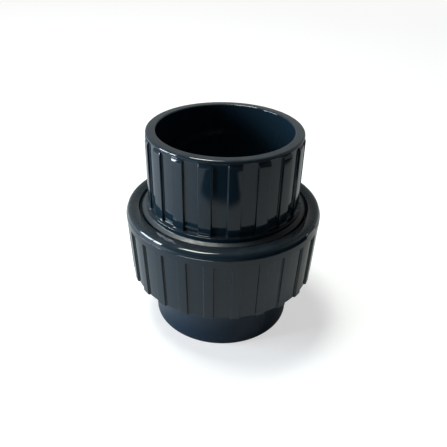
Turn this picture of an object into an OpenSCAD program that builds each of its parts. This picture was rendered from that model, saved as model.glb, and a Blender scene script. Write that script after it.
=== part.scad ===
// Solvent-socket pipe union, standing on the mouth of its lower socket.
// A threaded body and a flanged end piece are drawn together by a ribbed nut,
// and the joint is sealed by an O-ring in the body's face.
// Millimetres, +Z up, origin at the centre of the lower mouth.

/* [Pipe and sockets] */
// Outside diameter of the pipe that both sockets take
pipe_d = 63; // [50:1:75]
// Depth of each socket from its mouth to the pipe stop
socket_depth = 38; // [34:1:48]
// Radial height of the stop that the pipe butts against
stop_h = 4.5; // [2:0.5:8]
// Distance between the two pipe stops
stop_gap = 25; // [22:1:32]
// Chamfer inside each socket mouth
mouth_chamfer = 0.6; // [0.3:0.1:1.5]

/* [Lower body] */
// Wall of the lower socket at its mouth
lower_wall = 4.2; // [3:0.1:6]
// How much wider the lower socket grows up to the head
lower_draft = 0.3; // [0:0.1:0.8]
// Edge radius at the lower mouth
lower_edge_r = 0.8; // [0.2:0.1:1.2]
// Height of the sealing face above the lower pipe stop
seal_h = 13; // [11:0.5:15]
// Length of the threaded part of the head
head_len = 20; // [14:0.5:24]
// Rise of the cone between the socket and the head
head_cone_h = 3.4; // [1.5:0.1:6]
// Edge chamfer on the head
head_chamfer = 0.8; // [0.3:0.1:1.5]

/* [O-ring] */
// Cord height of the O-ring as squeezed in its groove
ring_h = 4.2; // [3:0.1:5]
// Cord width of the squeezed O-ring
ring_w = 5.2; // [3.5:0.1:6]
// Radial distance from the waterway to the middle of the groove
ring_offset = 8; // [6:0.1:10]
// Running space between the O-ring and its groove
ring_gap = 0.08; // [0.02:0.01:0.2]

/* [Upper end] */
// Wall of the upper socket between its ribs
upper_wall = 3.9; // [2.5:0.1:6]
// How much thicker that wall grows down to the collar
upper_draft = 0.2; // [0:0.1:0.6]
// How far the rim stands out from the wall
rim_lip = 0.6; // [0.3:0.1:1]
// Height of the rim's outer band
rim_h = 1.2; // [0.8:0.1:2]
// Rounding of the rim's outer edge
rim_edge_r = 0.9; // [0.3:0.1:1.2]
// Number of ribs on the upper socket
end_ribs = 18; // [9:1:22]
// Height of those ribs above the wall
end_rib_h = 1.1; // [0.5:0.1:1.6]
// Width of those ribs
end_rib_w = 5.5; // [3:0.1:6.5]
// Length of the sloped top of each rib
end_rib_slope = 1.6; // [0.8:0.1:4]
// Height that a rib keeps at its very top
end_rib_tip = 0.4; // [0.1:0.1:0.5]
// Angle of the first rib about the axis
end_rib_angle = 17.4; // [0:0.1:20]
// How far the collar at the ribs' foot stands out beyond them
collar_step = 1.2; // [0.6:0.1:2.5]
// Height of the collar above the nut
collar_rise = 2.0; // [1:0.1:5]
// How far the shoulder in the nut's mouth stands out beyond the collar
shoulder_step = 2.1; // [1.2:0.1:4]
// How far the shoulder sits below the nut's top
shoulder_drop = 0.2; // [0:0.1:1]
// Thickness of the flange that the nut's lip holds
flange_t = 8; // [6:0.5:10]

/* [Union nut] */
// Height of the nut
nut_h = 36.8; // [32:0.1:42]
// Thickness of the lip that holds the flange
lip_t = 4.5; // [3.5:0.1:6]
// How far the lip reaches over the flange
lip_overlap = 1.3; // [0.8:0.1:2.5]
// Chamfer at the inner edge of the lip
lip_chamfer = 1.4; // [0.6:0.1:2]
// Wall outside the thread at the top of the nut
nut_wall = 4.4; // [3.4:0.1:7]
// How much narrower the nut grows down to its foot
nut_draft = 0.9; // [0:0.1:1.2]
// Radial width of the cone at the nut's top edge
crown_w = 0.6; // [0.3:0.1:2]
// Height of that cone
crown_h = 2.9; // [1.5:0.1:5]
// Rounding where that cone meets the nut's flat top
crown_edge_r = 1.3; // [0.4:0.1:1.6]
// Height of the smooth band under the cone
band_h = 4.3; // [2:0.1:8]
// Number of ribs on the nut
nut_ribs = 24; // [12:1:28]
// Height of the nut's ribs
nut_rib_h = 0.9; // [0.4:0.1:1.2]
// Width of the nut's ribs
nut_rib_w = 4.3; // [3:0.1:6]
// Angle of the nut's first rib about the axis
nut_rib_angle = 8; // [0:0.1:15]
// Chamfer around the nut's foot
foot_chamfer = 0.5; // [0.2:0.1:0.8]
// Width of the moulding pad on the nut's cone
pad_w = 9.4; // [4:0.1:14]
// Height of the pad below the nut's top
pad_drop = 0.7; // [0.3:0.1:1.2]
// Angle of the pad about the axis
pad_angle = -31.5; // [-180:0.5:180]

/* [Thread and clearances] */
// Depth of the thread, whose turns are cut from the plain cylinders here
thread_h = 1.1; // [0.8:0.1:2]
// Radial clearance between the nut's bore and the head
thread_gap = 0.3; // [0.2:0.05:0.6]
// Radial clearance of the shoulder in the lip, and of the flange past the thread
pass_gap = 0.4; // [0.3:0.05:0.8]
// Gap left between the faces that the nut clamps
face_gap = 0.1; // [0.05:0.05:0.3]

/* [Hidden] */
$fn = 96;

// Points on each rounded corner of a profile
arc_steps = 4;
// How far one solid is sunk into the solid that it grows from
sink = 1;
// Side draft of a rib, as the extra width at its foot
rib_flare = 0.5;
pvc_grey = [0.20, 0.23, 0.26];
pvc_dark = [0.17, 0.21, 0.25];
rubber_black = [0.05, 0.05, 0.05];

// Radii, worked outward from the pipe
bore_r = pipe_d / 2;
water_r = bore_r - stop_h;
lower_r = bore_r + lower_wall;
upper_r = bore_r + upper_wall;
rim_r = upper_r + rim_lip;
end_rib_r = upper_r + end_rib_h;
collar_r = end_rib_r + upper_draft + collar_step;
shoulder_r = collar_r + shoulder_step;
lip_r = shoulder_r + pass_gap;
flange_r = lip_r + lip_overlap;
nut_bore_r = flange_r + pass_gap + thread_h;
head_r = nut_bore_r - thread_gap;
nut_r = nut_bore_r + nut_wall;
ring_r = water_r + ring_offset;

// Heights, worked upward from the lower mouth
stop_z = socket_depth;
seal_z = stop_z + seal_h;
head_z = seal_z - head_len;
flange_z = seal_z + face_gap;
flange_top_z = flange_z + flange_t;
lip_z = flange_top_z + face_gap;
nut_top_z = lip_z + lip_t;
nut_foot_z = nut_top_z - nut_h;
shoulder_z = nut_top_z - shoulder_drop;
collar_z = nut_top_z + collar_rise;
upper_stop_z = stop_z + stop_gap;
top_z = upper_stop_z + socket_depth;

// One corner of a profile, given as [radius, height, corner radius], turned into
// the points of its arc. Where an edge is short, its two corners share its length
// in proportion to their radii, and the arcs are cut down to fit.
function unit(v) = v / norm(v);
function xy(p) = [p[0], p[1]];
function corner(a, b, c) =
    let (
        u = unit(xy(a) - xy(b)),
        v = unit(xy(c) - xy(b)),
        half = acos(max(-1, min(1, u * v))) / 2,
        room = 0.9 * b[2] * min(norm(xy(a) - xy(b)) / (a[2] + b[2]), norm(xy(c) - xy(b)) / (c[2] + b[2])),
        reach = min(b[2] / tan(half), room),
        r = reach * tan(half),
        centre = xy(b) + unit(u + v) * r / sin(half),
        from = xy(b) + u * reach - centre,
        to = xy(b) + v * reach - centre,
        a0 = atan2(from[1], from[0]),
        turn = atan2(to[1], to[0]) - a0,
        sweep = turn > 180 ? turn - 360 : turn < -180 ? turn + 360 : turn
    )
    [for (i = [0:arc_steps]) centre + r * [cos(a0 + sweep * i / arc_steps), sin(a0 + sweep * i / arc_steps)]];
function rounded(points) = [
    for (i = [0:len(points) - 1])
        let (
            a = points[(i + len(points) - 1) % len(points)],
            b = points[i],
            c = points[(i + 1) % len(points)]
        )
        each (b[2] > 0 ? corner(a, b, c) : [xy(b)])
];

// A turned solid from a profile of rounded corners
module turned(points) {
    rotate_extrude()
        polygon(rounded(points));
}

// Straight ribs around the axis, each a little wider at its foot
module rib_slabs(count, first, w, r_in, r_out, z0, z1) {
    for (i = [0:count - 1])
        rotate([0, 0, first + i * 360 / count])
            translate([0, 0, z0])
                linear_extrude(z1 - z0)
                    polygon([
                        [r_in, -w / 2 - rib_flare / 2],
                        [r_out, -w / 2],
                        [r_out, w / 2],
                        [r_in, w / 2 + rib_flare / 2]
                    ]);
}

// Lower body: plain socket, pipe stop, and the head with its sealing face
module union_body() {
    neck_r = lower_r + lower_draft;
    groove_r0 = ring_r - ring_w / 2 - ring_gap;
    groove_r1 = ring_r + ring_w / 2 + ring_gap;
    groove_z = seal_z - ring_h - ring_gap;
    color(pvc_dark)
        turned([
            [bore_r + mouth_chamfer, 0, 0],
            [lower_r, 0, lower_edge_r],
            [neck_r, head_z - head_cone_h, 1],
            [head_r - head_chamfer, head_z, 0],
            [head_r, head_z + head_chamfer, 0],
            [head_r, seal_z - head_chamfer, 0],
            [head_r - head_chamfer, seal_z, 0],
            [groove_r1, seal_z, 0],
            [groove_r1, groove_z, 0.4],
            [groove_r0, groove_z, 0.4],
            [groove_r0, seal_z, 0],
            [water_r, seal_z, 0.4],
            [water_r, stop_z, 0.4],
            [bore_r, stop_z, 0],
            [bore_r, mouth_chamfer, 0]
        ]);
}

// O-ring, squeezed flush with the sealing face
module o_ring() {
    color(rubber_black)
        translate([0, 0, seal_z - ring_h])
            turned([
                [ring_r - ring_w / 2, 0, 1.7],
                [ring_r + ring_w / 2, 0, 1.7],
                [ring_r + ring_w / 2, ring_h, 1.7],
                [ring_r - ring_w / 2, ring_h, 1.7]
            ]);
}

// Upper end: ribbed socket, collar, shoulder and the flange that the nut traps
module tailpiece() {
    wall_foot_r = upper_r + upper_draft;
    rib_foot_r = end_rib_r + upper_draft;
    rib_top_z = top_z - rim_h - rim_lip - 0.4;
    color(pvc_grey) {
        turned([
            [bore_r, top_z - mouth_chamfer, 0],
            [bore_r, upper_stop_z, 0],
            [water_r, upper_stop_z, 0.4],
            [water_r, flange_z, 0.4],
            [flange_r, flange_z, 0.8],
            [flange_r, flange_top_z, 0.3],
            [shoulder_r, flange_top_z, 0.2],
            [shoulder_r, shoulder_z, 0.5],
            [collar_r + 0.1, shoulder_z, 0.4],
            [collar_r, collar_z - 0.1, 0.25],
            [wall_foot_r, collar_z + 0.3, 0.5],
            [upper_r, top_z - rim_h - rim_lip, 0.3],
            [rim_r, top_z - rim_h, 0.1],
            [rim_r, top_z, rim_edge_r],
            [bore_r + mouth_chamfer, top_z, 0]
        ]);
        intersection() {
            turned([
                [upper_r - sink, collar_z - sink, 0],
                [rib_foot_r, collar_z - sink, 0],
                [end_rib_r, rib_top_z - end_rib_slope, 0],
                [upper_r + end_rib_tip, rib_top_z, 0],
                [upper_r - sink, rib_top_z, 0]
            ]);
            rib_slabs(end_ribs, end_rib_angle, end_rib_w, upper_r - 2 * sink, rib_foot_r + sink,
                collar_z - 2 * sink, top_z);
        }
    }
}

// Union nut: ribbed outside, lip inside its top, plain bore at the thread's root
module union_nut() {
    foot_r = nut_r - nut_draft;
    rib_top_z = nut_top_z - crown_h - band_h;
    cone_z = nut_top_z - crown_h;
    color(pvc_grey) {
        turned([
            [lip_r, nut_top_z - lip_chamfer, 0.3],
            [lip_r, lip_z, 0.2],
            [nut_bore_r, lip_z, 0.3],
            [nut_bore_r, nut_foot_z + thread_h, 0],
            [nut_bore_r + thread_h, nut_foot_z, 0],
            [foot_r - nut_rib_h - foot_chamfer, nut_foot_z, 0],
            [foot_r - nut_rib_h, nut_foot_z + foot_chamfer, 0],
            [nut_r - nut_rib_h, rib_top_z, 0],
            [nut_r, rib_top_z + 0.5, 0.2],
            [nut_r, cone_z, 0.15],
            [nut_r - crown_w, nut_top_z, crown_edge_r],
            [lip_r + lip_chamfer, nut_top_z, 0.3]
        ]);
        intersection() {
            turned([
                [foot_r - nut_rib_h - sink, nut_foot_z, 0],
                [foot_r - foot_chamfer, nut_foot_z, 0],
                [foot_r, nut_foot_z + foot_chamfer, 0],
                [nut_r, rib_top_z + 0.5, 0],
                [nut_r - nut_rib_h - sink, rib_top_z + 0.5, 0]
            ]);
            rib_slabs(nut_ribs, nut_rib_angle, nut_rib_w, foot_r - nut_rib_h - 2 * sink, nut_r + sink,
                nut_foot_z - sink, nut_top_z);
        }
        intersection() {
            turned([
                [nut_r - crown_w - sink, cone_z - sink, 0],
                [nut_r, cone_z - sink, 0],
                [nut_r, nut_top_z - pad_drop, 0.2],
                [nut_r - crown_w - sink, nut_top_z - pad_drop, 0]
            ]);
            rib_slabs(1, pad_angle, pad_w, nut_r - crown_w - 2 * sink, nut_r + sink,
                cone_z - 2 * sink, nut_top_z);
        }
    }
}

union_body();
o_ring();
tailpiece();
union_nut();
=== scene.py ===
# %% [markdown]
# # A pipe union in dark PVC-U
#
# The object joins two plastic pipes so that they can be taken apart again. It has
# four pieces: a threaded body below, an end piece with a flange above, a ribbed nut
# that draws the two together, and a rubber ring between their faces.
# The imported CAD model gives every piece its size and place. This lesson builds the
# meshes and finishes that make it look moulded, and never moves a CAD piece.

# %% Load the frame
from math import asin, atan2, ceil, cos, pi, radians, sin, sqrt, tan

import bmesh
import bpy
from mathutils import Matrix, Vector


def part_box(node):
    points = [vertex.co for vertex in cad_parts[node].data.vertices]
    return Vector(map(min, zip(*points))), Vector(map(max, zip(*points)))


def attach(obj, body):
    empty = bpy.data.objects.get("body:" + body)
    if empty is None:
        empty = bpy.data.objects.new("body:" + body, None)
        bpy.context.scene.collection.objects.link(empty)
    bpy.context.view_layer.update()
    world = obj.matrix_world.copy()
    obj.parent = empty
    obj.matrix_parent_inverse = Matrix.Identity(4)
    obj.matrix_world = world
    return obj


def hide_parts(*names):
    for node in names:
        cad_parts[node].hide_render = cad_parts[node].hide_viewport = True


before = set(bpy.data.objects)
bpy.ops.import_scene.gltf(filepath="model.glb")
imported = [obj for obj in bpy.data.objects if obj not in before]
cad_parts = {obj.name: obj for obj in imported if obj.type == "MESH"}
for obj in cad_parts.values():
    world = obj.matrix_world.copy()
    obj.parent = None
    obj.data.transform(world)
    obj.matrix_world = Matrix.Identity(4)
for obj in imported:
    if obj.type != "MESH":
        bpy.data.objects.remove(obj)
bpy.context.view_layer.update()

scene = bpy.context.scene
scene.view_settings.view_transform = "Standard"
MM = 0.001

# %% [markdown]
# ## Reading the sizes
#
# The scene could repeat every size of the CAD model as a number. It reads the outer
# sizes from the boxes of the CAD pieces instead, so that the meshes can't drift
# away from them. The sizes in between, such as a collar's radius, stand in the cell
# of their own piece, and a turned CAD piece can be asked for them: its points near
# one height lie at only a few distances from the axis. All are in millimetres.

# %% Read the boxes of the CAD pieces
def box_mm(node):
    """Outer radius, lowest and highest height of a CAD piece, in millimetres."""
    low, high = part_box(node)
    return high.x / MM, low.z / MM, high.z / MM


def radii_near(node, height, reach=0.05):
    """Every distance from the axis at which a CAD piece has points near a height."""
    found = {
        round(sqrt(v.co.x ** 2 + v.co.y ** 2) / MM, 2)
        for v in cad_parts[node].data.vertices
        if abs(v.co.z / MM - height) < reach
    }
    return sorted(found)


HEAD_R, _, SEAL_Z = box_mm("union_body")
FLANGE_R, FLANGE_Z, TOP_Z = box_mm("tailpiece")
NUT_R, NUT_FOOT_Z, NUT_TOP_Z = box_mm("union_nut")
RING_OUT_R, RING_FOOT_Z, RING_TOP_Z = box_mm("o_ring")
for node in ("union_body", "tailpiece", "union_nut", "o_ring"):
    print(node, "radius, foot and top, mm:", [round(size, 2) for size in box_mm(node)])
print("CAD radii at the upper mouth:", radii_near("tailpiece", TOP_Z))

# %% [markdown]
# ## The camera
#
# The picture was taken at a slant from above, only about 25 cm from the object, so
# near things look clearly larger. A camera could be placed by eye, but its distance
# and lens trade off against each other. These values come from fitting the ellipses
# of the mouths and rims, all known circles, to the photograph: the fit gives the
# lens, the distance and the tilt at once. The lens looks at CENTRE_PX, which is a
# little off the frame's middle, and the shift makes up for that.

# %% Place the camera
PHOTO_PX = 447
FOCAL_PX = 488.6
CENTRE_PX = (222.4, 248.9)
CAMERA_AT = (0, -212.0 * MM, 182.4 * MM)
CAMERA_PITCH = radians(34.96)
CAMERA_ROLL = radians(1.38)
SENSOR = 36
NEAREST = 0.01  # metres, closer than anything comes

camera_data = bpy.data.cameras.new("camera")
camera_data.sensor_width = SENSOR
camera_data.lens = SENSOR * FOCAL_PX / PHOTO_PX
camera_data.shift_x = (PHOTO_PX / 2 - CENTRE_PX[0]) / PHOTO_PX
camera_data.shift_y = (CENTRE_PX[1] - PHOTO_PX / 2) / PHOTO_PX
camera_data.clip_start = NEAREST
camera = bpy.data.objects.new("camera", camera_data)
turn = Matrix.Rotation(pi / 2 - CAMERA_PITCH, 4, "X") @ Matrix.Rotation(CAMERA_ROLL, 4, "Z")
camera.matrix_world = Matrix.Translation(CAMERA_AT) @ turn
scene.collection.objects.link(camera)
scene.camera = camera
print("lens, mm:", round(camera_data.lens, 2), "shift:", round(camera_data.shift_y, 4))

# %% [markdown]
# ## Nodes and colours
#
# A material is a small graph of nodes. Three helpers keep the graphs readable: one
# turns the hex colours that a designer writes into the linear values that Blender
# computes with, one adds a node together with its settings and its links, and one
# makes the empty material that they go into.

# %% Colour and node helpers
def linear(hex_colour):
    """A colour written as sRGB hex, as the linear colour that shaders use."""
    parts = [int(hex_colour[i:i + 2], 16) / 255 for i in (1, 3, 5)]
    return [c / 12.92 if c <= 0.04045 else ((c + 0.055) / 1.055) ** 2.4 for c in parts] + [1]


def add(tree, kind, settings=(), **inputs):
    """Adds a node. settings are its own properties, and inputs are values or links.
    An input is given by its name, or by its number, such as _0, where names repeat."""
    node = tree.nodes.new(kind)
    for name, value in dict(settings).items():
        setattr(node, name, value)
    for name, value in inputs.items():
        socket = node.inputs[int(name[1:]) if name[0] == "_" else name.replace("_", " ")]
        if isinstance(value, bpy.types.NodeSocket):
            tree.links.new(value, socket)
        else:
            socket.default_value = value
    return node


def new_material(name):
    """An empty material, and the tree that its nodes go into."""
    material = bpy.data.materials.new(name)
    material.use_nodes = True
    material.node_tree.nodes.clear()
    return material, material.node_tree


print("linear of a mid grey:", [round(c, 3) for c in linear("#808080")])

# %% [markdown]
# ## A floor that looks white
#
# The object is so dark and so glossy that most of what the eye sees on it is what
# stands around it: upright walls mirror the floor, and edges that lean back catch
# the lamps. A floor bright enough to look white would show far too strongly in the
# walls. So the floor is a matt grey card, and Light Path's Is Camera Ray lets it
# glow for the camera alone. It looks white, keeps the object's shadow, and stays
# grey in the mirror. Further out the glow grows to full white, so that no view from
# the side meets a grey horizon.

# %% Build the floor
FLOOR_SIZE = 12  # metres, so that its edge lies beyond every view
FLOOR_COLOUR = "#b8b9b9"
WHITE_LIFT = 0.58  # the glow around the object
WHITE_FROM, WHITE_BY = 0.35, 2.0  # metres from the axis, over which it grows to 1
MIRROR_LIFT = 0.02  # the glow in mirror images


def floor_material():
    """Matt card that takes the object's shadow, and that the camera sees as white."""
    material, tree = new_material("pale_card")
    path = add(tree, "ShaderNodeLightPath").outputs
    mirrored = add(tree, "ShaderNodeMath", {"operation": "MAXIMUM"},
                   _0=path["Is Glossy Ray"], _1=path["Is Transmission Ray"])
    faint = add(tree, "ShaderNodeMath", {"operation": "MULTIPLY"},
                _0=mirrored.outputs[0], _1=MIRROR_LIFT)
    apart = add(tree, "ShaderNodeVectorMath", {"operation": "LENGTH"},
                _0=add(tree, "ShaderNodeTexCoord").outputs["Object"])
    paler = add(tree, "ShaderNodeMapRange", Value=apart.outputs["Value"],
                From_Min=WHITE_FROM, From_Max=WHITE_BY, To_Min=WHITE_LIFT, To_Max=1.0)
    lift = add(tree, "ShaderNodeMath", {"operation": "MULTIPLY_ADD"},
               _0=path["Is Camera Ray"], _1=paler.outputs[0], _2=faint.outputs[0])
    card = add(tree, "ShaderNodeBsdfDiffuse", Color=linear(FLOOR_COLOUR))
    glow = add(tree, "ShaderNodeEmission", Strength=lift.outputs[0])
    both = add(tree, "ShaderNodeAddShader", _0=card.outputs[0], _1=glow.outputs[0])
    add(tree, "ShaderNodeOutputMaterial", Surface=both.outputs[0])
    return material


def flat_card(name, outline, z, material):
    """A level card with the given outline, that belongs to the studio."""
    mesh = bpy.data.meshes.new(name)
    mesh.from_pydata([(x, y, z) for x, y in outline], [], [range(len(outline))])
    mesh.materials.append(material)
    card = bpy.data.objects.new(name, mesh)
    scene.collection.objects.link(card)
    return card


def rectangle(x, y):
    """Corners of a rectangle between two x and two y."""
    return [(x[0], y[0]), (x[1], y[0]), (x[1], y[1]), (x[0], y[1])]


floor_span = (-FLOOR_SIZE / 2, FLOOR_SIZE / 2)
flat_card("floor", rectangle(floor_span, floor_span), 0, floor_material())
print("floor size, m:", FLOOR_SIZE)

# %% [markdown]
# ## Black cards for the mirror images
#
# On the real object the front of the upper socket is dark in the middle, and so is
# the nut's top edge in front and to the right. A gloss as smooth as this shows no
# shading of its own, so these are mirror images of something dark and low: a shadow
# on the floor in front, and a darker floor further out. Two black cards paint these
# dark reflections here: one in front, whose edges fade as a shadow's edge does, and
# one further out that bends round to the right. They are set to show in reflections
# alone, so they take no light from the object, and no other view meets them.

# %% Lay the black cards
# Painted dark reflections: these cards are seen only in reflections, where they paint a shadow on the
# floor in front and a darker floor further out
CARD_COLOUR = "#0a0a0a"
SHADE_X = (-116, 84)
SHADE_Y = (-700, -172)
SHADE_Z = 1  # millimetres over the floor, as no two cards may share a level
SIDE_FADE = (0.41, 0.5)  # shares of the card's width, out from its middle
NEAR_FADE = (0.96, 1.0)  # shares of its length, towards the object
BEYOND = [(-300, -900), (-110, -290), (110, -240), (190, -195), (240, -110),
          (248, 60), (900, 60), (900, -900)]
BEYOND_Z = 2


def only_mirrored(card):
    """Keeps a card out of everything but reflections."""
    card.visible_camera = False
    card.visible_diffuse = False
    card.visible_shadow = False
    return card


def black_card(name, soft_sides):
    """Matt black card, which paints a dark reflection. Soft sides fade out, as the edge of a shadow
    does.
    """
    material, tree = new_material(name)
    surface = add(tree, "ShaderNodeBsdfDiffuse", Color=linear(CARD_COLOUR))
    if soft_sides:
        across = add(tree, "ShaderNodeSeparateXYZ",
                     Vector=add(tree, "ShaderNodeTexCoord").outputs["Generated"])
        middle = add(tree, "ShaderNodeMath", {"operation": "SUBTRACT"}, _0=across.outputs["X"], _1=0.5)
        beside = add(tree, "ShaderNodeMath", {"operation": "ABSOLUTE"}, _0=middle.outputs[0])
        sides = add(tree, "ShaderNodeMapRange", {"interpolation_type": "SMOOTHSTEP"},
                    Value=beside.outputs[0],
                    From_Min=SIDE_FADE[0], From_Max=SIDE_FADE[1], To_Min=1.0, To_Max=0.0)
        near = add(tree, "ShaderNodeMapRange", {"interpolation_type": "SMOOTHSTEP"},
                   Value=across.outputs["Y"],
                   From_Min=NEAR_FADE[0], From_Max=NEAR_FADE[1], To_Min=1.0, To_Max=0.0)
        cover = add(tree, "ShaderNodeMath", {"operation": "MULTIPLY"},
                    _0=sides.outputs[0], _1=near.outputs[0])
        clear = add(tree, "ShaderNodeBsdfTransparent")
        surface = add(tree, "ShaderNodeMixShader",
                      _0=cover.outputs[0], _1=clear.outputs[0], _2=surface.outputs[0])
    add(tree, "ShaderNodeOutputMaterial", Surface=surface.outputs[0])
    return material


def in_metres(outline):
    """An outline in millimetres, in Blender's metres."""
    return [(x * MM, y * MM) for x, y in outline]


# The near card paints a shadow in reflections, and the far card paints a dark reflection of the floor
# further out
shade = flat_card("shade", in_metres(rectangle(SHADE_X, SHADE_Y)), SHADE_Z * MM,
                  black_card("soft_shade", soft_sides=True))
beyond = flat_card("painted_dark_reflection", in_metres(BEYOND), BEYOND_Z * MM,
                   black_card("painted_dark_reflection", soft_sides=False))
painted_reflection_cards = [only_mirrored(card) for card in (shade, beyond)]
print("cards that only reflections see:", [card.name for card in painted_reflection_cards])

# %% [markdown]
# ## The light from all around
#
# A dim world fills the shadows and lies as a faint sheen over every gloss. It could
# be one even grey, but then a wall and a top face would shine alike. Here it is
# palest at the horizon and darker overhead, which lets the lamps stand out. In
# front it falls to about an eighth, because the real object's front walls mirror
# hardly any light from there. The camera itself sees plain white.

# %% Build the world
FRONT_SHARE = 0.12  # what is left of the light in front
FRONT_FADE = (-0.55, 0.05)  # how far to the back a direction points
ROOM_TONES = ((0.25, "#a8aaab"), (0.75, "#3c3d3d"))  # how far up, and the tone there


def build_world():
    """A dim room, paler at the horizon and darker in front, and plain white to the camera."""
    world = bpy.data.worlds.new("studio")
    world.use_nodes = True
    tree = world.node_tree
    tree.nodes.clear()
    up = add(tree, "ShaderNodeSeparateXYZ", Vector=add(tree, "ShaderNodeTexCoord").outputs["Generated"])
    tone = add(tree, "ShaderNodeValToRGB", Fac=up.outputs["Z"])
    for stop, (position, colour) in zip(tone.color_ramp.elements, ROOM_TONES):
        stop.position = position
        stop.color = linear(colour)
    depth = add(tree, "ShaderNodeMapRange", Value=up.outputs["Y"],
                From_Min=FRONT_FADE[0], From_Max=FRONT_FADE[1], To_Min=FRONT_SHARE, To_Max=1.0)
    room = add(tree, "ShaderNodeBackground", Color=tone.outputs["Color"], Strength=depth.outputs[0])
    plain = add(tree, "ShaderNodeBackground", Color=linear("#ffffff"), Strength=1)
    path = add(tree, "ShaderNodeLightPath")
    shown = add(tree, "ShaderNodeMixShader", _0=path.outputs["Is Camera Ray"],
                _1=room.outputs[0], _2=plain.outputs[0])
    add(tree, "ShaderNodeOutputWorld", Surface=shown.outputs[0])
    scene.world = world
    return world


print("world nodes:", len(build_world().node_tree.nodes))

# %% [markdown]
# ## The soft box and the window
#
# One big lamp could light it all, but then every edge would shine at the same place.
# A soft box hangs overhead, a little to the left and behind, with plain white light:
# it draws the long highlights on the rim and on the nut's round edge. A window
# stands low at the left, with cooler light in two panes: it draws the short bright
# line on the nut's left edge. How bright a lamp looks in a mirror is its radiance,
# so that is what is set, and the power follows from the lamp's size.

# %% Hang the soft box and the window
AIM_AT = Vector((0, 0, 0.06))  # metres, just above the middle of the object


def soft_light(name, place, size, radiance, colour):
    """A rectangular lamp that looks at the object. Its power is worked out from how
    bright its face is to look at, which is what a mirror image shows."""
    lamp = bpy.data.lights.new(name, "AREA")
    lamp.shape = "RECTANGLE"
    lamp.size, lamp.size_y = size
    lamp.energy = radiance * pi * size[0] * size[1]
    lamp.color = linear(colour)[:3]
    light = bpy.data.objects.new(name, lamp)
    light.location = place
    aim = AIM_AT - light.location
    light.rotation_mode = "QUATERNION"
    light.rotation_quaternion = aim.to_track_quat("-Z", "Y")
    scene.collection.objects.link(light)
    print(name, "gives", round(lamp.energy, 2), "W")
    return light


soft_light("soft_box", place=(-0.23, 0.14, 1.06), size=(0.44, 0.30),
           radiance=28, colour="#fbfff8")
soft_light("window_front_pane", place=(-0.60, -0.19, 0.19), size=(0.115, 0.26),
           radiance=29, colour="#ecf5ff")
soft_light("window_back_pane", place=(-0.62, -0.015, 0.19), size=(0.19, 0.26),
           radiance=23, colour="#e2f2ff")

# %% [markdown]
# ## Turned shapes with ribs
#
# Every piece here is a body of revolution, and two of them carry moulded ribs.
# A turned shape could be a curve with a screw modifier, and the ribs could be
# boxes joined on, but then the ribs would meet the wall in a hard seam that no
# mould makes. Instead each piece is one grid of points: a row for each point of
# its profile and a column for each angle. A rib is a set of columns pushed
# outward, so its foot runs into the wall with a small fillet, as in the mould.
# No moulded corner is perfectly sharp, and it is the small arc on it that catches
# the light, so the first helper rounds the corners of any outline.

# %% Round the corners of an outline
NEARLY_STRAIGHT = radians(89.5)  # half the angle at a point that is no corner
ARC_ROOM = 0.95  # share of a short edge that its arcs may use up


def rounded(points, steps=4, closed=True):
    """Each point is (across, up, corner radius, *more). Corners become arcs, and
    whatever follows the radius is carried along to every point of the arc."""
    made = []
    for i, point in enumerate(points):
        here = Vector(point[:2])
        if not point[2] or (not closed and i in (0, len(points) - 1)):
            made.append((*here, *point[3:]))
            continue
        before = Vector(points[i - 1][:2]) - here
        after = Vector(points[(i + 1) % len(points)][:2]) - here
        half = before.angle(after) / 2
        if half > NEARLY_STRAIGHT:
            made.append((*here, *point[3:]))
            continue
        sides = ((before, points[i - 1][2]), (after, points[(i + 1) % len(points)][2]))
        room = min(side.length * point[2] / (point[2] + radius) for side, radius in sides)
        reach = min(point[2] / tan(half), ARC_ROOM * room)
        radius = reach * tan(half)
        middle = here + (before.normalized() + after.normalized()).normalized() * radius / sin(half)
        start, end = [here + side.normalized() * reach - middle for side in (before, after)]
        sweep = start.angle_signed(end)
        for k in range(steps + 1):
            spoke = Matrix.Rotation(-sweep * k / steps, 2) @ start
            made.append((*(middle + spoke), *point[3:]))
    return made


def divided(points, step):
    """Adds points so that no two neighbours are further apart than step."""
    made = []
    for a, b in zip(points, points[1:]):
        count = max(1, ceil((Vector(b[:2]) - Vector(a[:2])).length / step))
        made += [tuple(p + (q - p) * k / count for p, q in zip(a, b)) for k in range(count)]
    return made + [points[-1]]


square = rounded([(0, 0, 1), (9, 0, 1), (9, 9, 1), (0, 9, 1)])
print("a square with round corners has", len(square), "points")

# %% [markdown]
# ## Ribs as columns
#
# A rib's section is drawn once on a flat strip: the wall, a small fillet, the flank,
# a rounded edge and the flat top. Bent round the axis and repeated, it gives the
# angle of every column and how far the rib lifts it there. The flanks flare a
# little towards the foot, because a moulding has to come out of its steel.

# %% Lay out ribs around the axis
COLUMN_STEP = 1.2  # millimetres, the widest that a column of faces may be


def rib_columns(count, first, width, height, flare, wall_r, foot_fillet, edge_round):
    """Columns round the axis as (angle, rise), rise being how far a rib stands out."""
    pitch = 2 * pi * wall_r / count
    half = width / 2
    section = divided(rounded([
        (-pitch / 2, 0, 0),
        (-half - flare / 2, 0, foot_fillet),
        (-half, height, edge_round),
        (half, height, edge_round),
        (half + flare / 2, 0, foot_fillet),
        (pitch / 2, 0, 0),
    ], closed=False), COLUMN_STEP)
    columns = []
    for i in range(count):
        middle = radians(first + i * 360 / count)
        columns += [(middle + along / wall_r, rise) for along, rise in section[:-1]]
    return columns + [(columns[0][0] + 2 * pi, columns[0][1])]


def plain_columns(count):
    """Evenly spaced columns with no rib."""
    return [(2 * pi * i / count, 0) for i in range(count + 1)]


three_ribs = rib_columns(3, 0, width=5, height=1, flare=0.5, wall_r=10, foot_fillet=0.3, edge_round=0.3)
print("columns for three ribs on a wall of radius 10:", len(three_ribs))

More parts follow.
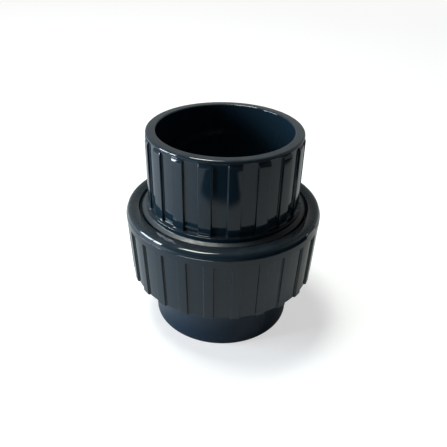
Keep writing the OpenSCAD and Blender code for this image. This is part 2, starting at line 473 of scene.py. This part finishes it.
# %% [markdown]
# ## The profile as rows
#
# A row of the grid is a rule: given a column, it says at what radius and height the
# point lies. On a plain wall the rule is the same at every angle. Where ribs run,
# it adds the column's rise, in full or in part, so that one set of columns serves
# walls, slopes and smooth bands alike.

# %% Rules for rows
def wall(radius, height, share=0):
    """A row of a turned wall. share says how much of a rib's rise the row follows."""
    def place(angle, rise):
        return radius + share * rise, height
    return place


def wall_rows(points, closed=False):
    """Rows from profile points given as (radius, height, corner radius, rib share)."""
    return [wall(*point) for point in rounded([(*p, 0)[:4] for p in points], closed=closed)]


print("a wall of radius 30 under a rib of 2 lies at", wall(30, 0, share=1)(0, 2)[0])

# %% [markdown]
# ## From rows and columns to one skin
#
# The last row joins the first, so each piece closes into one skin with no loose
# edge. Points that fall together are welded. Plain smooth shading would let the
# many slim faces of an arc tip the normals of the flat face beside it, and the
# gloss would show that as streaks. So each face pulls on its points' normals by
# its area: flat faces look flat, and only the arcs turn.

# %% Weave rows and columns into one closed mesh
WELD = 0.002  # millimetres


def shade_by_area(mesh):
    """Smooth shading in which a large face pulls a shared point's normal to its own."""
    mesh.shade_smooth()
    pulls = [Vector() for _ in mesh.vertices]
    for face in mesh.polygons:
        pull = face.normal * face.area / MM ** 2
        for index in face.vertices:
            pulls[index] += pull
    mesh.normals_split_custom_set_from_vertices([pull.normalized() for pull in pulls])


def turned(name, rows, columns):
    """Each row is a rule that gives the radius and height, in millimetres, at a column."""
    work = bmesh.new()
    grid = []
    for place in rows:
        spots = [(*place(angle, rise), angle) for angle, rise in columns]
        grid.append([work.verts.new((r * cos(a) * MM, r * sin(a) * MM, z * MM)) for r, z, a in spots])
    for low, high in zip(grid, grid[1:] + grid[:1]):
        for j in range(len(columns) - 1):
            work.faces.new((low[j], low[j + 1], high[j + 1], high[j]))
    bmesh.ops.remove_doubles(work, verts=work.verts, dist=WELD * MM)
    bmesh.ops.dissolve_degenerate(work, edges=work.edges, dist=WELD * MM)
    bmesh.ops.recalc_face_normals(work, faces=work.faces)
    mesh = bpy.data.meshes.new(name)
    work.to_mesh(mesh)
    work.free()
    shade_by_area(mesh)
    piece = bpy.data.objects.new(name, mesh)
    scene.collection.objects.link(piece)
    print(name, "has", len(mesh.polygons), "faces")
    return piece


def stand_in(piece, node, body, slot_name, *materials):
    """Puts a new mesh in the place of its CAD piece."""
    for material in materials:
        piece.data.materials.append(material)
    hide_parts(node)
    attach(piece, body)


# %% [markdown]
# ## Dark grey PVC-U, injection moulded
#
# PVC-U for pressure fittings is a hard plastic, coloured all through in a blue-grey
# that is almost black. It was pressed against a polished steel mould, so the skin
# is smooth and mirrors its surroundings like a dark lacquer. What tells it from
# lacquer is a faint waviness where the plastic shrank as it cooled, a slight grain,
# and a dry haze of dust and handling marks on whatever faces up. A clear coat could
# give the gloss, but PVC-U has none: its own surface reflects, so the base layer
# does it alone.
# The shrink waves and the patches of haze have their real size. The grain of the
# skin and the grains of dust are under a tenth of a millimetre on the real thing,
# too fine to show here, so both are drawn about ten times as coarse.

# %% Make the moulded plastics
PVC_IOR = 1.46  # PVC has about 1.53, and a little less matches how bright its mirror images are
SHRINK_WAVE_MM = 9
SHRINK_DEPTH_MM = 0.03
GRAIN_MM = 0.9
GRAIN_DEPTH_MM = 0.02
HAZE_MM = 5
SPECK_MM = 1.6
DUST_COLOUR = "#4e4a42"
DUST_ON_WALLS = 0.02
DUST_ON_TOPS = 0.24
DUST_SETTLES = (0.3, 1.0)  # how far up a face looks where dust starts, and where it is full
THIN_HAZE, THICK_HAZE = 0.15, 0.4  # low and high end of the two noises multiplied
DULLEST_HAZE = 0.45
DUST_SPREAD = (0.5, 1.5)  # share of the dust in the thinnest and the thickest haze
DULL_SPREAD = (0.85, 1.3)  # share of the roughness there


def moulded_pvc(name, colour, roughness, gloss=0.5):
    """Polished moulded PVC-U, with shrink waves, fine grain, and a haze of dust on top."""
    material, tree = new_material(name)
    spot = add(tree, "ShaderNodeTexCoord").outputs["Object"]
    wave = add(tree, "ShaderNodeTexNoise", Vector=spot, Scale=1 / (SHRINK_WAVE_MM * MM), Detail=1.0)
    grain = add(tree, "ShaderNodeTexNoise", Vector=spot, Scale=1 / (GRAIN_MM * MM), Detail=2.0)
    haze = add(tree, "ShaderNodeTexNoise", Vector=spot, Scale=1 / (HAZE_MM * MM),
               Detail=6.0, Roughness=0.65)
    specks = add(tree, "ShaderNodeTexNoise", Vector=spot, Scale=1 / (SPECK_MM * MM),
                 Detail=8.0, Roughness=0.8)
    patch = add(tree, "ShaderNodeMath", {"operation": "MULTIPLY"},
                _0=haze.outputs[0], _1=specks.outputs[0])
    facing = add(tree, "ShaderNodeSeparateXYZ",
                 Vector=add(tree, "ShaderNodeNewGeometry").outputs["Normal"])
    upward = add(tree, "ShaderNodeMapRange", Value=facing.outputs["Z"],
                 From_Min=DUST_SETTLES[0], From_Max=DUST_SETTLES[1],
                 To_Min=DUST_ON_WALLS, To_Max=DUST_ON_TOPS)
    uneven = add(tree, "ShaderNodeMapRange", Value=patch.outputs[0],
                 From_Min=THIN_HAZE, From_Max=THICK_HAZE, To_Min=DUST_SPREAD[0], To_Max=DUST_SPREAD[1])
    share = add(tree, "ShaderNodeMath", {"operation": "MULTIPLY"},
                _0=upward.outputs[0], _1=uneven.outputs[0])
    tint = add(tree, "ShaderNodeMix", {"data_type": "RGBA"}, Factor=share.outputs[0],
               _6=linear(colour), _7=linear(DUST_COLOUR))
    dull = add(tree, "ShaderNodeMapRange", Value=patch.outputs[0],
               From_Min=THIN_HAZE, From_Max=DULLEST_HAZE,
               To_Min=roughness * DULL_SPREAD[0], To_Max=roughness * DULL_SPREAD[1])
    slow = add(tree, "ShaderNodeBump", Strength=0.35, Distance=SHRINK_DEPTH_MM * MM,
               Height=wave.outputs[0])
    fine = add(tree, "ShaderNodeBump", Strength=0.12, Distance=GRAIN_DEPTH_MM * MM,
               Height=grain.outputs[0], Normal=slow.outputs[0])
    skin = add(tree, "ShaderNodeBsdfPrincipled", Base_Color=tint.outputs[2], Roughness=dull.outputs[0],
               IOR=PVC_IOR, Specular_IOR_Level=gloss, Normal=fine.outputs[0])
    add(tree, "ShaderNodeOutputMaterial", Surface=skin.outputs[0])
    return material


# From a mirror-polished mould: sharp images, on the nut and the end piece
PVC_GLOSS = moulded_pvc("pvc_u_polished", "#13242f", 0.065)
# From a plainer mould: soft images and a bluer look, on the lower body
PVC_BODY = moulded_pvc("pvc_u_satin", "#142839", 0.17)
# Turned on a lathe after moulding: a matt grey sheen, on the shoulder in the nut's mouth
PVC_TURNED = moulded_pvc("pvc_u_turned", "#142630", 0.42, gloss=0.8)
print("plastics:", PVC_GLOSS.name, PVC_BODY.name, PVC_TURNED.name)

# %% [markdown]
# ## Black EPDM rubber
#
# The sealing ring is compression moulded EPDM. Rubber scatters what light it sends
# back, so it looks soft and even where the plastic looks wet. A thin film of
# silicone grease, which every fitter leaves on it, gives it a slight sheen that
# comes and goes over a few millimetres. The grain of real rubber is finer than the
# half millimetre drawn here, which is as fine as a close view can show.

# %% Make the rubber
RUBBER_IOR = 1.52
RUBBER_GRAIN_MM = 0.5
RUBBER_GRAIN_DEPTH_MM = 0.03
GREASE_MM = 6
GREASY, DRY = 0.38, 0.6  # roughness under the film, and without it
FILM_LOW, FILM_HIGH = 0.3, 0.7  # between these lie most values of a noise texture


def moulded_rubber():
    """Black EPDM with a fine matt grain."""
    material, tree = new_material("epdm_rubber")
    spot = add(tree, "ShaderNodeTexCoord").outputs["Object"]
    grain = add(tree, "ShaderNodeTexNoise", Vector=spot, Scale=1 / (RUBBER_GRAIN_MM * MM), Detail=4.0)
    film = add(tree, "ShaderNodeTexNoise", Vector=spot, Scale=1 / (GREASE_MM * MM), Detail=3.0)
    tint = add(tree, "ShaderNodeMix", {"data_type": "RGBA"}, Factor=grain.outputs[0],
               _6=linear("#141414"), _7=linear("#1c1c1d"))
    dull = add(tree, "ShaderNodeMapRange", Value=film.outputs[0],
               From_Min=FILM_LOW, From_Max=FILM_HIGH, To_Min=GREASY, To_Max=DRY)
    bump = add(tree, "ShaderNodeBump", Strength=0.3, Distance=RUBBER_GRAIN_DEPTH_MM * MM,
               Height=grain.outputs[0])
    skin = add(tree, "ShaderNodeBsdfPrincipled", Base_Color=tint.outputs[2], Roughness=dull.outputs[0],
               IOR=RUBBER_IOR, Normal=bump.outputs[0])
    add(tree, "ShaderNodeOutputMaterial", Surface=skin.outputs[0])
    return material


RUBBER = moulded_rubber()
print("rubber:", RUBBER.name)

# %% [markdown]
# ## The threads
#
# The nut pulls on the body through a coarse thread of trapezoid section, three
# millimetres a turn and right-handed. A thread could be a ridge wound on a plain
# cylinder. Here the rows of the grid climb with the helix instead: at each angle a
# row stands a little higher, and after one turn it meets the row that is one pitch
# further up. The points fall together there and are welded, so the threaded head
# stays one closed skin. At both ends the rows are held at a level and pile up, and
# the weld removes what has no height.

# %% Rules for thread rows
PITCH = 3
THREAD_H = 1.1
THREAD_FADE = 1.2
TURNS_BELOW = 3  # turns laid out under the low level, which the hold flattens
HEAD_Z = 31.0
# The section over one pitch: the share of the pitch, and the share of the depth there
THREAD_SECTION = [(0.0, 0), (0.12, 0), (0.16, 0.08), (0.31, 0.92), (0.35, 1),
                  (0.62, 1), (0.66, 0.92), (0.81, 0.08), (0.85, 0)]


def thread_rows(root_r, crest_r, low_z, high_z, offset=0):
    """Rows that climb one pitch a turn, held between two levels. The thread fades out
    towards both levels, as it does where it runs into a chamfer."""
    def climbing(turns, share):
        def place(angle, rise):
            z = low_z + PITCH * (turns + angle / (2 * pi))
            z = min(max(z, low_z), high_z)
            fade = min(1, (z - low_z) / THREAD_FADE, (high_z - z) / THREAD_FADE)
            return root_r + (crest_r - root_r) * share * fade, z
        return place
    last = ceil((high_z - low_z) / PITCH) + 1
    return [climbing(turn + offset + phase, share)
            for turn in range(-TURNS_BELOW, last + 1) for phase, share in THREAD_SECTION]


print("turns of thread on the head:", round((SEAL_Z - HEAD_Z) / PITCH, 1))

# %% [markdown]
# ## The lower body
#
# Below, the body is a plain socket for the pipe. Above it widens, through a short
# cone, into the head that carries the thread. Its top is the sealing face, with a
# groove for the ring. Inside, a narrower waterway leaves a ledge that stops the
# pipe. The profile is walked once round, from the mouth up the outside and back
# down through the bore. Each point is a radius, a height and the rounding there.

# %% Build the lower body
PIPE_R = 31.5
WATER_R = 27.0
STOP_Z = 38.0
HEAD_CONE_Z = 27.6
LOWER_R = 35.7
NECK_R = 36.0
MOUTH_CHAMFER = 0.6
HEAD_CHAMFER = 0.4
GROOVE_GAP = 0.08
RING_W = 5.2
RING_IN_R = RING_OUT_R - RING_W
ROOT_R = HEAD_R - THREAD_H
BODY_COLUMNS = 192


def build_lower_body():
    """The plain socket, the threaded head and the grooved face, as one closed skin."""
    groove_z = RING_FOOT_Z - GROOVE_GAP
    thread_foot_z = HEAD_Z + HEAD_CHAMFER
    thread_top_z = SEAL_Z - HEAD_CHAMFER
    below = [
        (PIPE_R, MOUTH_CHAMFER, 0.1),
        (PIPE_R + MOUTH_CHAMFER, 0, 0.1),
        (LOWER_R, 0, 0.8),
        (NECK_R, HEAD_CONE_Z, 1.0),
        (ROOT_R - HEAD_CHAMFER, HEAD_Z, 0.3),
        (ROOT_R, thread_foot_z, 0.1),
    ]
    above = [
        (ROOT_R, thread_top_z, 0.1),
        (ROOT_R - HEAD_CHAMFER, SEAL_Z, 0.1),
        (RING_OUT_R + GROOVE_GAP, SEAL_Z, 0.15),
        (RING_OUT_R + GROOVE_GAP, groove_z, 0.4),
        (RING_IN_R - GROOVE_GAP, groove_z, 0.4),
        (RING_IN_R - GROOVE_GAP, SEAL_Z, 0.15),
        (WATER_R, SEAL_Z, 0.4),
        (WATER_R, STOP_Z, 0.4),
        (PIPE_R, STOP_Z, 0.2),
    ]
    rows = wall_rows(below) + thread_rows(ROOT_R, HEAD_R, thread_foot_z, thread_top_z) + wall_rows(above)
    return turned("lower_body_moulding", rows, plain_columns(BODY_COLUMNS))


lower_body = build_lower_body()
stand_in(lower_body, "union_body", "lower_body", "pvc_body", PVC_BODY)
print("CAD radii at the lower pipe stop:", radii_near("union_body", STOP_Z))

# %% [markdown]
# ## The sealing ring
#
# The ring is a loop of round cord, and the tight joint squeezes it: flat above and
# below, with full round sides that fill the groove. A torus flattened by a scale
# would make the sides oval. A turned section with four large corner radii gives the
# squeezed form as it is.

# %% Build the sealing ring
RING_CORNER = 1.7
RING_COLUMNS = 144


def build_ring():
    """A round cord of rubber, squeezed flat where the faces press it."""
    rows = wall_rows([
        (RING_IN_R, RING_FOOT_Z, RING_CORNER),
        (RING_OUT_R, RING_FOOT_Z, RING_CORNER),
        (RING_OUT_R, RING_TOP_Z, RING_CORNER),
        (RING_IN_R, RING_TOP_Z, RING_CORNER),
    ], closed=True)
    return turned("sealing_ring", rows, plain_columns(RING_COLUMNS))


sealing_ring = build_ring()
stand_in(sealing_ring, "o_ring", "lower_body", "seal_rubber", RUBBER)

# %% [markdown]
# ## The end piece
#
# The upper end is the piece that shows most. Its socket has eighteen flat ribs for
# grip, each ending in a short slope under a plain rim. A collar, then a shoulder,
# step out to the flange that the nut traps. Rib columns are laid out once, and the
# profile says where they stand proud: fully on the wall, not at all on the rim or
# the collar, and the slope comes from the rows between.
# The shoulder's own face was turned on a lathe, so its faces take a second, duller
# material. It falls a little to the outside, which lets it catch the light.

# %% Build the end piece
END_WALL_R = 35.4
END_FOOT_R = 35.6
END_RIM_R = 36.0
RIM_EDGE = 0.9
BORE_EDGE = 0.6
COVE_Z = 99.2
BAND_LOW_Z = 99.8
COLLAR_R = 37.9
COLLAR_Z = 65.7
COLLAR_LEAN = 0.1
SHOULDER_R = 40.0
SHOULDER_Z = 63.7
SHOULDER_EDGE_Z = 62.8
TURNED_FROM_Z = SHOULDER_EDGE_Z - 0.4
TURNED_BY_Z = SHOULDER_Z + 0.05
UPPER_STOP_Z = 63.0
FLANGE_TOP_Z = 59.1
RIB_CREASE_Z = 97.2
RIB_TOP_Z = 98.8
RIB_END_H = 0.05
RIB_TIP_SHARE = 0.4
END_RIBS = dict(count=18, first=17.4, width=5.5, height=1.1, flare=0.5,
                wall_r=END_WALL_R, foot_fillet=0.3, edge_round=0.28)


def build_end_piece():
    """The ribbed socket, collar, shoulder and flange, as one closed skin."""
    rows = wall_rows([
        (PIPE_R, TOP_Z, BORE_EDGE),
        (PIPE_R, UPPER_STOP_Z, 0.2),
        (WATER_R, UPPER_STOP_Z, 0.4),
        (WATER_R, FLANGE_Z, 0.4),
        (FLANGE_R, FLANGE_Z, 0.8),
        (FLANGE_R, FLANGE_TOP_Z, 0.3),
        (SHOULDER_R, FLANGE_TOP_Z, 0.2),
        (SHOULDER_R, SHOULDER_EDGE_Z, 0.5),
        (COLLAR_R + COLLAR_LEAN, SHOULDER_Z, 0.3),
        (COLLAR_R, COLLAR_Z - COLLAR_LEAN, 0.25),
        (END_FOOT_R, COLLAR_Z + COLLAR_LEAN, 0.4, 1),
        (END_WALL_R, RIB_CREASE_Z, 0.25, 1),
        (END_WALL_R, RIB_TOP_Z - RIB_END_H, 0.12, RIB_TIP_SHARE),
        (END_WALL_R, RIB_TOP_Z, 0),
        (END_WALL_R, COVE_Z, 0.3),
        (END_RIM_R, BAND_LOW_Z, 0.1),
        (END_RIM_R, TOP_Z, RIM_EDGE),
    ], closed=True)
    piece = turned("end_piece_moulding", rows, rib_columns(**END_RIBS))
    lathe_faces = 0
    for face in piece.data.polygons:
        height = face.center.z / MM
        if TURNED_FROM_Z < height < TURNED_BY_Z and face.center.xy.length / MM > COLLAR_R:
            face.material_index = 1
            lathe_faces += 1
    print("faces of the turned shoulder:", lathe_faces)
    return piece


end_piece = build_end_piece()
stand_in(end_piece, "tailpiece", "upper_end", "pvc_gloss", PVC_GLOSS, PVC_TURNED)

# %% [markdown]
# ## The union nut
#
# The nut is a deep ring with a lip at its top that bears on the flange. Its outside
# has a smooth band above and twenty-four ribs below, cut off level with the band.
# The same rib columns serve, and inside, the same columns carry the thread, set
# about half a pitch off the body's, so that the ridges of one lie in the grooves of
# the other. They stand 0.2 mm off the middle of the grooves, so their flanks cross
# by up to 0.05 mm on one side, where no view reaches. Between the band and the flat
# top runs a nearly upright crown with a well rounded edge. A small flat pad on it is
# where the plastic entered the mould.

# %% Set the sizes of the nut
NUT_BORE_R = 43.2
LIP_R = 40.4
LIP_Z = 59.2
LIP_MOUTH_W = 1.2
LIP_DEPTH = 2.2
LIP_DRAFT = 0.2
LIP_SLOPE_H = 0.8
BORE_CHAMFER_W = 1.1
BORE_CHAMFER_H = 1.2
THREAD_FOOT_Z = NUT_FOOT_Z + 1.3
THREAD_TOP_Z = 50.4
THREAD_END_Z = 50.5
CONE_Z = 60.8
CROWN_W = 1.0
BAND_STEP = 0.15
BAND_EDGE = 0.14
CROWN_EDGE = 1.9
CROWN_STEPS = 8
BAND_Z = 57.0
BAND_SLOPE_H = 0.5
NUT_DRAFT = 0.9
NUT_FOOT_R = NUT_R - NUT_DRAFT
NUT_CHAMFER = 0.5
NUT_RIB_H = 0.9
NUT_RIBS = dict(count=24, first=8, width=4.3, height=NUT_RIB_H, flare=0.5,
                wall_r=NUT_R - NUT_RIB_H, foot_fillet=0.3, edge_round=0.3)
print("a nut rib and the gap beside it, mm:", round(2 * pi * NUT_R / NUT_RIBS["count"], 1))

# %% [markdown]
# ## The moulding pad
#
# The pad is a flat of a few millimetres that stands out of the crown to the nut's
# full radius. It could be a small box cut into the mesh. Here each row of the crown
# knows where it would lie on the pad, and each column knows how far it belongs to
# the pad, so the grid itself steps out. At one end the pad's top falls away, where
# the sprue was cut off.

# %% Shape the crown and its pad
PAD_ANGLE = radians(328.5)
PAD_W = 9.4
PAD_Z = NUT_TOP_Z - 0.7
PAD_EDGE = 0.4
# Millimetres inside the pad's end, and how far the column belongs to the pad there
PAD_SIDE = [(-0.3, 0), (-0.05, 0.12), (0.1, 0.88), (0.35, 1), (1.1, 1)]
NICK_W = 1.1
NICK_SLOPE = 0.53


def pad_share(angle):
    """How far a column belongs to the pad: none outside it, all of it inside."""
    inside = PAD_W / 2 - abs(angle - PAD_ANGLE) * NUT_R
    if inside <= PAD_SIDE[0][0]:
        return 0
    for (a, low), (b, high) in zip(PAD_SIDE, PAD_SIDE[1:]):
        if inside <= b:
            return low + (high - low) * (inside - a) / (b - a)
    return 1


def nick(angle):
    """How far the pad's top falls towards its front end, where the sprue was cut."""
    inside = PAD_W / 2 + (angle - PAD_ANGLE) * NUT_R
    return NICK_SLOPE * max(0, NICK_W - max(0, inside))


def crown_row(radius, height, pad_r, pad_z):
    """A row of the nut's crown that steps out to the pad over the pad's width."""
    def place(angle, rise):
        p = pad_share(angle)
        fall = nick(angle) if pad_z > PAD_Z - PAD_EDGE else 0
        return radius + (pad_r - radius) * p, height + (pad_z - fall - height) * p
    return place


def crown_rows():
    """Rows up the nearly upright crown and round its top edge. Over the pad's width
    they go straight up and then inward, to meet the edge again."""
    lean = atan2(CROWN_W - BAND_STEP, NUT_TOP_Z - CONE_Z)
    mid_r = NUT_R - CROWN_W - CROWN_EDGE * tan((pi / 2 - lean) / 2)
    mid_z = NUT_TOP_Z - CROWN_EDGE
    edge_z = mid_z + CROWN_EDGE * sin(lean)

    def crown_r(height):
        """Radius of the plain crown at a height, on its cone or on its round edge."""
        if height < edge_z:
            return NUT_R - BAND_STEP - (CROWN_W - BAND_STEP) * (height - CONE_Z) / (NUT_TOP_Z - CONE_Z)
        return mid_r + sqrt(CROWN_EDGE ** 2 - (height - mid_z) ** 2)

    corner = [(NUT_R, CONE_Z, 0), (NUT_R, PAD_Z, PAD_EDGE), (crown_r(PAD_Z), PAD_Z, 0)]
    pad = rounded(corner, closed=False)
    heights = [CONE_Z + (PAD_Z - CONE_Z) * k / (len(pad) - 1) for k in range(len(pad))]
    rows = [crown_row(crown_r(z), z, *spot) for z, spot in zip(heights, pad)]
    start = asin((PAD_Z - mid_z) / CROWN_EDGE)
    for k in range(1, CROWN_STEPS + 1):
        tilt = start + (pi / 2 - start) * k / CROWN_STEPS
        rows.append(wall(mid_r + CROWN_EDGE * cos(tilt), mid_z + CROWN_EDGE * sin(tilt)))
    return rows


def with_pad_columns(columns):
    """Adds a column at each bend of the pad's two sides."""
    start = columns[0][0]
    extra = [PAD_ANGLE + side * (PAD_W / 2 - inside) / NUT_R
             for side in (-1, 1) for inside, _ in PAD_SIDE]
    made = list(columns)
    for angle in extra:
        angle = start + (angle - start) % (2 * pi)
        j = max(k for k, column in enumerate(made) if column[0] <= angle)
        (a, low), (b, high) = made[j], made[j + 1]
        made.insert(j + 1, (angle, low + (high - low) * (angle - a) / (b - a)))
    return made


nut_columns = with_pad_columns(rib_columns(**NUT_RIBS))
print("columns round the nut:", len(nut_columns), "rows of its crown:", len(crown_rows()))

# %% [markdown]
# ## One skin for the nut
#
# The nut is walked round like the body: down through the lip and the thread, out
# under the foot, up the ribs, over the band and the crown. Where the ribs end, they
# have to run out exactly level with the band, or a dark line shows there. So in the
# rows near that edge a rib rises by just what the wall still lacks to the band.

# %% Build the nut
RUN_OUT = 1  # millimetres either side of the band's foot


def build_nut():
    """The lip, the threaded bore, the ribs and the band, as one closed skin."""
    inside = [
        (LIP_R + LIP_MOUTH_W, NUT_TOP_Z, 0.25),
        (LIP_R + LIP_MOUTH_W - LIP_DRAFT, NUT_TOP_Z - LIP_DEPTH, 0.3),
        (LIP_R, NUT_TOP_Z - LIP_DEPTH - LIP_SLOPE_H, 0.2),
        (LIP_R, LIP_Z, 0.2),
        (NUT_BORE_R, LIP_Z, 0.3),
        (NUT_BORE_R, THREAD_END_Z, 0.2),
    ]
    outside = [
        (NUT_BORE_R, NUT_FOOT_Z + BORE_CHAMFER_H, 0.1, 0),
        (NUT_BORE_R + BORE_CHAMFER_W, NUT_FOOT_Z, 0.1, 0),
        (NUT_FOOT_R - NUT_RIB_H - NUT_CHAMFER, NUT_FOOT_Z, 0.15, 1),
        (NUT_FOOT_R - NUT_RIB_H, NUT_FOOT_Z + NUT_CHAMFER, 0.15, 1),
        (NUT_R - NUT_RIB_H, BAND_Z, 0.2, 1),
        (NUT_R, BAND_Z + BAND_SLOPE_H, 0.2, 0),
        (NUT_R, CONE_Z, BAND_EDGE, 0),
        (NUT_R - BAND_STEP, CONE_Z, 0, 0),
    ]
    outside = [(r, z, (NUT_R - r) / NUT_RIB_H if abs(z - BAND_Z) < RUN_OUT else share)
               for r, z, share in rounded(outside, closed=False)]
    threads = thread_rows(NUT_BORE_R, NUT_BORE_R - THREAD_H, THREAD_FOOT_Z, THREAD_TOP_Z, offset=0.5)
    rows = wall_rows(inside) + threads[::-1] + [wall(*point) for point in outside] + crown_rows()
    return turned("union_nut_moulding", rows, nut_columns)


union_nut = build_nut()
stand_in(union_nut, "union_nut", "nut", "pvc_gloss", PVC_GLOSS)
